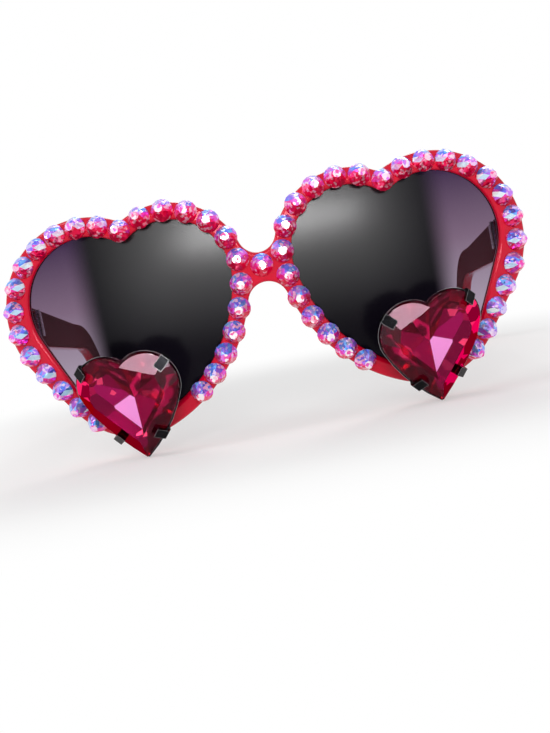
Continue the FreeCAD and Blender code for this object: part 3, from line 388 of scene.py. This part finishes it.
def crystal_material():
    """Fuchsia stones under a rainbow coat, partly painted reflection by facet slope: blue upper facets,
    violet flanks and red lower facets
    """
    material, nodes = new_material("coated_crystal")
    place = nodes.place()
    x, _, z = nodes.parts(place)
    normal = nodes.facing()
    aim_x, _, aim_z = nodes.parts(normal)
    outer = nodes.span(nodes.math("ABSOLUTE", x), INNER_STONES, OUTER_STONES)

    # Slope of each facet against the curved front
    rise = nodes.math("SUBTRACT", aim_z, nodes.math("DIVIDE", z, BROW_RADIUS))
    across = nodes.math("SUBTRACT", aim_x, nodes.math("DIVIDE", x, WRAP_RADIUS))
    squares = nodes.math("ADD", nodes.math("POWER", rise, 2), nodes.math("POWER", across, 2))
    tilt = nodes.math("SQRT", squares)

    # One chance for each facet, and cells for the pieces of light inside a stone
    chance = nodes.chance(normal, CRYSTAL_FACET_STEP)
    shards = nodes.cells(place, CRYSTAL_SHARDS)
    glint, _, patch = nodes.channels(shards)
    spark = nodes.channels(nodes.cells(place, CRYSTAL_SPARKS))[1]

    # Rainbow coat, bluer the more a facet faces up and redder on the low stones near the nose; the colour by
    # slope is partly the coat's own and partly painted reflection
    low = nodes.product(nodes.span(z, LOW_STONES_TOP, LOW_STONES_BOTTOM), nodes.span(outer, 0, 1, 0.05, 0))
    hue = nodes.math("MULTIPLY_ADD", rise, HUE_BY_RISE, nodes.span(outer, 0, 1, 0.3, 0.5))
    hue = nodes.math("MULTIPLY_ADD", nodes.math("SUBTRACT", chance, 0.5), HUE_BY_CHANCE, hue)
    hue = nodes.math("SUBTRACT", hue, low)
    hue = nodes.math("MULTIPLY_ADD", nodes.math("SUBTRACT", glint, 0.5), HUE_BY_GLINT, hue, clamp=True)
    coat = nodes.ramp(hue, RAINBOW)

    # Painted glints: pink sparks in some cells
    flash = nodes.product(nodes.span(spark, 0.78, 0.82), nodes.span(rise, -0.5, 0.2, 0.4, 0.75))
    bright = nodes.mix(flash, coat, SPARK_PINK)

    # Painted reflection: pale wedges on the level facets of the outer stones that face the middle
    inward = nodes.product(across, nodes.math("SIGN", x))
    level = nodes.math("ABSOLUTE", nodes.math("SUBTRACT", rise, 0.02))
    wedge_reflection = nodes.product(nodes.span(inward, -0.25, -0.3), nodes.span(level, 0.14, 0.12),
                          nodes.span(outer, 0.3, 0.6))
    bright = nodes.mix(wedge_reflection, bright, nodes.mix(chance, WEDGE_REFLECTION_BLUE, WEDGE_REFLECTION_WHITE))

    # Painted highlight: white tables, broken by the cells
    table_glint = nodes.product(nodes.span(tilt, 0.16, 0.22, 1, 0), nodes.span(outer, 0, 1, 1, 0.5),
                          nodes.span(patch, 0.3, 0.45, 0.1, 1.0))
    nodes.principled(
        Base_Color=nodes.mix(table_glint, bright, TABLE_GLINT_WHITE),
        Metallic=nodes.product(nodes.span(wedge_reflection, 0, 1, 1, 0.2), nodes.span(outer, 0, 1, 0.4, 0.6)),
        Roughness=nodes.span(glint, 0, 1, 0.06, 0.14), IOR=1.58, Specular_IOR_Level=0.3,
        Normal=nodes.tilted(shards, SHARD_TILT))
    return material


def heart_axes(side):
    """Seat of a heart stone and its three axes: across, along the heart's line, and out of the front"""
    x = HEART_X if side == "left" else -HEART_X
    reach = math.sqrt(BROW_RADIUS ** 2 - HEART_Z ** 2)
    ring = WRAP_RADIUS - BROW_RADIUS + reach
    y = WRAP_RADIUS - math.sqrt(ring ** 2 - x ** 2)
    flat = reach / BROW_RADIUS
    outward = Vector((flat * x / ring, flat * (y - WRAP_RADIUS) / ring, HEART_Z / BROW_RADIUS)).normalized()
    up = (Vector((0, 0, 1)) - outward * outward.z).normalized()
    across = up.cross(outward)
    axes = Matrix((across, up, outward)).transposed()
    axes = axes @ Matrix.Rotation(math.radians(-HEART_LEAN), 3, "X")
    axes = axes @ Matrix.Rotation(math.radians(HEART_TURN[side]), 3, "Z")
    return Vector((x, y, HEART_Z)), axes


def heart_material(side):
    """Ruby stone: a clear crown over a foiled back whose facets run from dark ruby to pink, with painted
    shade, painted flashes and a painted pink reflection
    """
    material, nodes = new_material("ruby_stone_" + side)
    seat, axes = heart_axes(side)
    outer_side = 1 if side == "left" else -1
    place = nodes.place()
    normal = nodes.facing()

    # Height over the seat, and how far each facet faces away from the nose, up and back
    offset = nodes.vector("SUBTRACT", place, tuple(seat))
    height = nodes.vector("DOT_PRODUCT", offset, tuple(axes.col[2]))
    crown = nodes.span(height, GIRDLE_HEIGHT - GIRDLE_BLUR, GIRDLE_HEIGHT + GIRDLE_BLUR)
    aim_outer = nodes.vector("DOT_PRODUCT", normal, tuple(axes.col[0] * outer_side))
    aim_up = nodes.vector("DOT_PRODUCT", normal, tuple(axes.col[1]))
    aim_back = nodes.vector("DOT_PRODUCT", normal, tuple(-axes.col[2]))

    # One chance for each facet, and cells for the flashes
    aims = nodes.joined(aim_outer, aim_up, aim_back)
    shifted = nodes.vector("ADD", aims, (HEART_FACET_SHIFT, HEART_FACET_SHIFT, HEART_FACET_SHIFT))
    chance = nodes.chance(shifted, HEART_FACET_STEP)
    red_cells, green_cells, _ = nodes.channels(nodes.cells(place, HEART_FLASHES))

    # Foiled back: steep facets at the edge, flatter ones round the middle, with painted shade low down and
    # near the nose
    edge = nodes.ramp(chance, RUBY_EDGE)
    middle = nodes.ramp(chance, RUBY_MIDDLE)
    low = nodes.product(nodes.span(aim_outer, 0.05, 0.1), nodes.span(aim_up, 0.0, -0.15))
    culet = nodes.span(aim_back, 0.9, 0.94)
    foil = nodes.mix(culet, nodes.mix(low, edge, RUBY_LOW_SHADE), middle)
    inner_shade = nodes.span(aim_outer, -0.02, -0.1, 0.0, RUBY_INNER_SHADE_MOST)
    foil = nodes.mix(inner_shade, foil, RUBY_INNER_SHADE)
    flank = nodes.product(culet, nodes.span(aim_outer, 0.22, 0.24))
    foil = nodes.mix(flank, foil, RUBY_FLANK)

    # Painted flashes in some cells, and the pink kite in the middle as a painted reflection
    lit = nodes.product(nodes.span(green_cells, 0.91, 0.92), nodes.span(inner_shade, 0, RUBY_INNER_SHADE_MOST, 1, 0.4))
    foil = nodes.mix(lit, foil, RUBY_FLASH)
    kite = nodes.product(nodes.span(aim_outer, 0.14, 0.17), nodes.span(aim_up, -0.1, -0.13), culet)
    foil = nodes.mix(kite, foil, KITE_REFLECTION_PINK)

    # Painted flashes: bright red facets along the outer edge of the crown, and pale gloss on its upper inner
    # facet
    reach = FLASH_REACH[side]
    outside = nodes.product(crown, nodes.span(nodes.geometry("Backfacing"), 0, 1, 1, 0))
    rim = nodes.product(nodes.span(aim_outer, 0.3, 0.35), outside)
    shown = nodes.product(nodes.span(red_cells, 0.55, 0.57), nodes.span(aim_up, reach, reach + 0.05))
    glow = nodes.mix(shown, GLOW_DARK, GLOW_RED)
    pale = nodes.product(nodes.span(aim_outer, -0.12, -0.25), nodes.span(aim_up, -0.1, 0.0))
    nodes.principled(
        Base_Color=nodes.mix(rim, nodes.mix(crown, foil, CROWN_CLEAR), glow),
        Metallic=nodes.math("ADD", rim, nodes.span(crown, 0, 1, 0.92, 0)),
        Transmission_Weight=crown, Roughness=nodes.span(crown, 0, 1, 0.1, 0.0), IOR=1.4,
        Specular_Tint=nodes.mix(pale, RUBY_GLOSS, PALE_GLOSS))
    return material


def set_material(node, material):
    """Gives a node of the model its material"""
    thing = frame["nodes"][node]
    thing.data.materials.clear()
    thing.data.materials.append(material)


def dress():
    """Materials of all nodes, by their slot in the record"""
    materials = {
        "frame": plastic_material("red_plastic", matt_inside_painted_shade=False),
        "lens": lens_material(),
        "hinge": metal_material(
            "bright_plate", dark=(0.5, 0.5, 0.51, 1), light=(0.68, 0.68, 0.68, 1),
            wear_and_highlight=(0.75, 0.74, 0.72, 1), smoothest=0.15, roughest=0.32),
        "setting": metal_material(
            "gunmetal", dark=(0.005, 0.005, 0.006, 1), light=(0.015, 0.015, 0.017, 1),
            wear_and_highlight=(0.5, 0.5, 0.52, 1), smoothest=0.12, roughest=0.3),
        "adhesive": glue_material(),
        "crystal": crystal_material(),
    }
    for part in frame["record"]["subparts"]:
        if part["material_slot"] in materials:
            set_material(part["node"], materials[part["material_slot"]])

    # Temples with a matt inner face darkened with painted shade, and heart stones with a material for each
    # side
    temple = plastic_material("temple_plastic", matt_inside_painted_shade=True)
    for side in SIDES:
        set_material("temple_" + side, temple)
        set_material("heart_crystal_" + side, heart_material(side))


def seen_directly(nodes):
    """One for rays from the camera, from gloss and through glass"""
    path = nodes.add("ShaderNodeLightPath").outputs
    direct = nodes.math("MAXIMUM", path["Is Camera Ray"], path["Is Glossy Ray"])
    return nodes.math("MAXIMUM", direct, path["Is Transmission Ray"])


def build_floor():
    """Pale floor that keeps the shadow near the object and runs out to white"""
    mesh = bpy.data.meshes.new("floor")
    shape = bmesh.new()
    bmesh.ops.create_circle(shape, cap_ends=True, segments=FLOOR_SIDES, radius=FLOOR_RADIUS)
    shape.to_mesh(mesh)
    shape.free()
    floor = bpy.data.objects.new("floor", mesh)
    floor.location = (0, 0, FLOOR_LEVEL)
    bpy.context.collection.objects.link(floor)
    material, nodes = new_material("pale_floor")
    matt = nodes.add("ShaderNodeBsdfDiffuse")
    matt.inputs["Color"].default_value = FLOOR_COLOUR
    white = nodes.add("ShaderNodeEmission")
    apart = nodes.vector("ABSOLUTE", nodes.vector("SUBTRACT", nodes.place(), SHADOW_MIDDLE))
    outside = nodes.vector("MAXIMUM", nodes.vector("SUBTRACT", apart, SHADOW_HALF), (0, 0, 0))
    distance = nodes.vector("LENGTH", outside)
    fade = nodes.span(distance, SHADOW_FADE_START, SHADOW_FADE_END, SHADOW_FADE_LEAST, 1.0, "SMOOTHSTEP")
    blend = nodes.add("ShaderNodeMixShader")
    nodes.feed(blend.inputs[0], nodes.product(fade, seen_directly(nodes)))
    nodes.feed(blend.inputs[1], matt.outputs[0])
    nodes.feed(blend.inputs[2], white.outputs[0])
    output = nodes.add("ShaderNodeOutputMaterial")
    nodes.feed(output.inputs["Surface"], blend.outputs[0])
    mesh.materials.append(material)


def build_world():
    """Even ambient light with a white background"""
    world = bpy.data.worlds.new("studio")
    world.use_nodes = True
    world.node_tree.nodes.clear()
    nodes = Nodes(world.node_tree)
    light = nodes.add("ShaderNodeBackground")
    light.inputs["Color"].default_value = AMBIENT_COLOUR
    nodes.feed(light.inputs["Strength"], nodes.span(seen_directly(nodes), 0, 1, AMBIENT_STRENGTH, 1.0))
    output = nodes.add("ShaderNodeOutputWorld")
    nodes.feed(output.inputs["Surface"], light.outputs[0])
    bpy.context.scene.world = world


def softbox(name, place, target, width, height, watts):
    """A rectangular lamp that faces its target"""
    lamp = bpy.data.lights.new(name, "AREA")
    lamp.shape = "RECTANGLE"
    lamp.size = width
    lamp.size_y = height
    lamp.energy = watts
    thing = bpy.data.objects.new(name, lamp)
    thing.location = place
    thing.rotation_euler = (Vector(target) - Vector(place)).to_track_quat("-Z", "Y").to_euler()
    bpy.context.collection.objects.link(thing)


def build_lights():
    """Two wide strips above and behind the camera, a fill from the wearer's right and a light from behind"""
    softbox("key_lamp", place=(0.05, -1.05, 0.25), target=(0, 0, 0), width=0.9, height=0.16, watts=4.2)
    softbox("top_lamp", place=(-0.05, -1.05, 0.41), target=(0, 0, 0), width=0.54, height=0.08, watts=2.2)
    softbox("fill_lamp", place=(-0.8, -0.3, 0.7), target=(0, 0, -0.01), width=0.4, height=0.4, watts=2.5)
    softbox("back_lamp", place=(0.2, 0.9, 0.9), target=(0, 0.03, 0), width=0.6, height=0.4, watts=3.0)


def build_camera():
    """Camera at the photograph's place, with its roll"""
    lens = bpy.data.cameras.new("camera")
    lens.lens = CAMERA_LENS
    lens.clip_start = CAMERA_NEAR
    camera = bpy.data.objects.new("camera", lens)
    back = -CAMERA_AHEAD.normalized()
    right = CAMERA_UP.cross(back).normalized()
    up = back.cross(right)
    turn = Matrix((right, up, back)).transposed().to_4x4()
    camera.matrix_world = Matrix.Translation(CAMERA_PLACE) @ turn
    bpy.context.collection.objects.link(camera)
    bpy.context.scene.camera = camera


build_camera()
build_world()
build_floor()
build_lights()
dress()
bpy.context.scene.view_settings.view_transform = "Standard"
